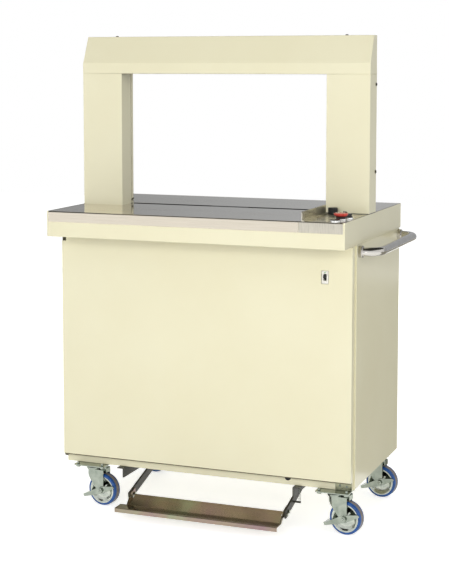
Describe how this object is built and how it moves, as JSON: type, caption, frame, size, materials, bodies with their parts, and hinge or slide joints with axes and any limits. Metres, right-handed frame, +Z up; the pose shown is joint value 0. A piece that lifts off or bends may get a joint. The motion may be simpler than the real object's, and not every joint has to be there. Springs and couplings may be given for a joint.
{
  "type": "strapping machine",
  "caption": "Semi-automatic strapping machine: cabinet with a stainless table, strap arch, control panel, push handle, foot treadle and braked swivel casters.",
  "frame": {"origin": "on the floor, under the middle of the machine's outline with its handle and treadle", "axes": "+X to the operator's right, +Y away from the operator, +Z up"},
  "size_m": [0.9785, 0.625, 1.415],
  "materials": {
    "cream_paint": "satin powder coat",
    "stainless": "bright rolled stainless sheet",
    "zinc": "bright zinc plating",
    "dark_steel": "dark paint",
    "olive_chromate": "olive chromate over zinc",
    "chrome": "polished chrome plating",
    "black_plastic": "moulded, satin",
    "white_plastic": "moulded, satin",
    "red_plastic": "moulded, gloss",
    "blue_tyre": "moulded polyurethane",
    "strap": "polypropylene strap, wound",
    "motor_paint": "satin paint"
  },
  "bodies": {
    "machine": {"arch_rear_covers": "cream_paint", "arch_screws": "zinc", "arch_track": "black_plastic", "beam_cover": "cream_paint", "breaker_body": "white_plastic", "cabinet_frame": "cream_paint", "caster_bolts": "zinc", "caster_plates": "zinc", "control_bezels": "chrome", "control_panel": "stainless", "door_hinges": "zinc", "drive_motor": "motor_paint", "electric_box": "cream_paint", "floor_pan": "cream_paint", "front_table_plate": "stainless", "left_column": "cream_paint", "left_side_panel": "cream_paint", "panel_guard": "stainless", "push_handle": "chrome", "rear_panel": "cream_paint", "rear_table_plate": "stainless", "reel_stand": "dark_steel", "right_column": "cream_paint", "right_side_panel": "cream_paint", "sealing_head": "dark_steel", "slide_plate": "stainless", "table_frame": "cream_paint", "treadle_brackets": "dark_steel"},
    "door": {"front_door": "cream_paint"},
    "toggle": {"breaker_toggle": "black_plastic"},
    "treadle": {"treadle_plate": "olive_chromate", "treadle_arms": "dark_steel", "treadle_bolts": "zinc", "return_spring": "zinc"},
    "start_cap": {"start_button": "black_plastic"},
    "stop_cap": {"stop_button": "red_plastic"},
    "mode_cap": {"mode_selector": "black_plastic"},
    "reset_cap": {"reset_selector": "black_plastic"},
    "knob": {"tension_knob": "black_plastic"},
    "reel": {"strap_reel": "black_plastic", "strap_coil": "strap"},
    "feed": {"feed_roller": "zinc"},
    "pinch": {"pinch_roller": "zinc"},
    "front_left_swivel": {"front_left_fork": "zinc"},
    "front_left_roll": {"front_left_wheel": "zinc", "front_left_tyre": "blue_tyre"},
    "front_left_lock": {"front_left_brake": "zinc"},
    "front_right_swivel": {"front_right_fork": "zinc"},
    "front_right_roll": {"front_right_wheel": "zinc", "front_right_tyre": "blue_tyre"},
    "front_right_lock": {"front_right_brake": "zinc"},
    "rear_left_swivel": {"rear_left_fork": "zinc"},
    "rear_left_roll": {"rear_left_wheel": "zinc", "rear_left_tyre": "blue_tyre"},
    "rear_left_lock": {"rear_left_brake": "zinc"},
    "rear_right_swivel": {"rear_right_fork": "zinc"},
    "rear_right_roll": {"rear_right_wheel": "zinc", "rear_right_tyre": "blue_tyre"},
    "rear_right_lock": {"rear_right_brake": "zinc"}
  },
  "joints": [
    {"name": "door_hinge", "type": "hinge", "parent": "machine", "child": "door", "pos_m": [-0.47925, -0.1985, 0.4], "axis": [0, 0, -1], "range_deg": [0, 110]},
    {"name": "breaker_throw", "type": "hinge", "parent": "machine", "child": "toggle", "pos_m": [0.34095, -0.1985, 0.7355], "axis": [1, 0, 0], "range_deg": [0, 24]},
    {"name": "treadle_pivot", "type": "hinge", "parent": "machine", "child": "treadle", "pos_m": [-0.03125, -0.0825, 0.1052], "axis": [1, 0, 0], "range_deg": [0, 3.5], "stiffness_Nm_per_rad": 60, "springref_deg": -6.88, "deforming": ["return_spring"]},
    {"name": "start_press", "type": "slide", "parent": "machine", "child": "start_cap", "axis": [0, 0, -1], "range_m": [0, 0.003], "stiffness_N_per_m": 600, "springref_m": -0.001},
    {"name": "stop_press", "type": "slide", "parent": "machine", "child": "stop_cap", "axis": [0, 0, -1], "range_m": [0, 0.003], "stiffness_N_per_m": 1200, "springref_m": -0.001},
    {"name": "mode_turn", "type": "hinge", "parent": "machine", "child": "mode_cap", "pos_m": [0.40275, -0.1955, 0.9], "axis": [0, 0, 1], "range_deg": [-45, 45]},
    {"name": "reset_turn", "type": "hinge", "parent": "machine", "child": "reset_cap", "pos_m": [0.37775, -0.1375, 0.9], "axis": [0, 0, 1], "range_deg": [-45, 45]},
    {"name": "tension_turn", "type": "hinge", "parent": "machine", "child": "knob", "pos_m": [0.32275, -0.0765, 0.9], "axis": [0, 0, -1], "range_deg": [0, 300]},
    {"name": "reel_spin", "type": "hinge", "parent": "machine", "child": "reel", "pos_m": [-0.20125, 0.0075, 0.43], "axis": [0, 1, 0], "continuous": true},
    {"name": "feed_spin", "type": "hinge", "parent": "machine", "child": "feed", "pos_m": [0.05675, 0.0075, 0.834], "axis": [0, 1, 0], "continuous": true},
    {"name": "pinch_spin", "type": "hinge", "parent": "machine", "child": "pinch", "pos_m": [0.05675, 0.0075, 0.7834], "axis": [0, 1, 0], "continuous": true},
    {"name": "front_left_swivel_turn", "type": "hinge", "parent": "machine", "child": "front_left_swivel", "pos_m": [-0.39525, -0.178, 0.122], "axis": [0, 0, 1], "continuous": true},
    {"name": "front_left_wheel_spin", "type": "hinge", "parent": "front_left_swivel", "child": "front_left_roll", "pos_m": [-0.36051, -0.18227, 0.048], "axis": [0.1219, 0.9925, 0], "continuous": true},
    {"name": "front_left_brake_tilt", "type": "hinge", "parent": "front_left_swivel", "child": "front_left_lock", "pos_m": [-0.36051, -0.18227, 0.048], "axis": [0.1219, 0.9925, 0], "range_deg": [-8, 0]},
    {"name": "front_right_swivel_turn", "type": "hinge", "parent": "machine", "child": "front_right_swivel", "pos_m": [0.36775, -0.178, 0.122], "axis": [0, 0, 1], "continuous": true},
    {"name": "front_right_wheel_spin", "type": "hinge", "parent": "front_right_swivel", "child": "front_right_roll", "pos_m": [0.40249, -0.18227, 0.048], "axis": [0.1219, 0.9925, 0], "continuous": true},
    {"name": "front_right_brake_tilt", "type": "hinge", "parent": "front_right_swivel", "child": "front_right_lock", "pos_m": [0.40249, -0.18227, 0.048], "axis": [0.1219, 0.9925, 0], "range_deg": [-8, 0]},
    {"name": "rear_left_swivel_turn", "type": "hinge", "parent": "machine", "child": "rear_left_swivel", "pos_m": [-0.39525, 0.206, 0.122], "axis": [0, 0, 1], "continuous": true},
    {"name": "rear_left_wheel_spin", "type": "hinge", "parent": "rear_left_swivel", "child": "rear_left_roll", "pos_m": [-0.36051, 0.20173, 0.048], "axis": [0.1219, 0.9925, 0], "continuous": true},
    {"name": "rear_left_brake_tilt", "type": "hinge", "parent": "rear_left_swivel", "child": "rear_left_lock", "pos_m": [-0.36051, 0.20173, 0.048], "axis": [0.1219, 0.9925, 0], "range_deg": [-8, 0]},
    {"name": "rear_right_swivel_turn", "type": "hinge", "parent": "machine", "child": "rear_right_swivel", "pos_m": [0.36775, 0.206, 0.122], "axis": [0, 0, 1], "continuous": true},
    {"name": "rear_right_wheel_spin", "type": "hinge", "parent": "rear_right_swivel", "child": "rear_right_roll", "pos_m": [0.40249, 0.20173, 0.048], "axis": [0.1219, 0.9925, 0], "continuous": true},
    {"name": "rear_right_brake_tilt", "type": "hinge", "parent": "rear_right_swivel", "child": "rear_right_lock", "pos_m": [0.40249, 0.20173, 0.048], "axis": [0.1219, 0.9925, 0], "range_deg": [-8, 0]}
  ],
  "couplings": [
    {"joint": "pinch_spin", "follows": "feed_spin", "ratio": -1.5}
  ]
}
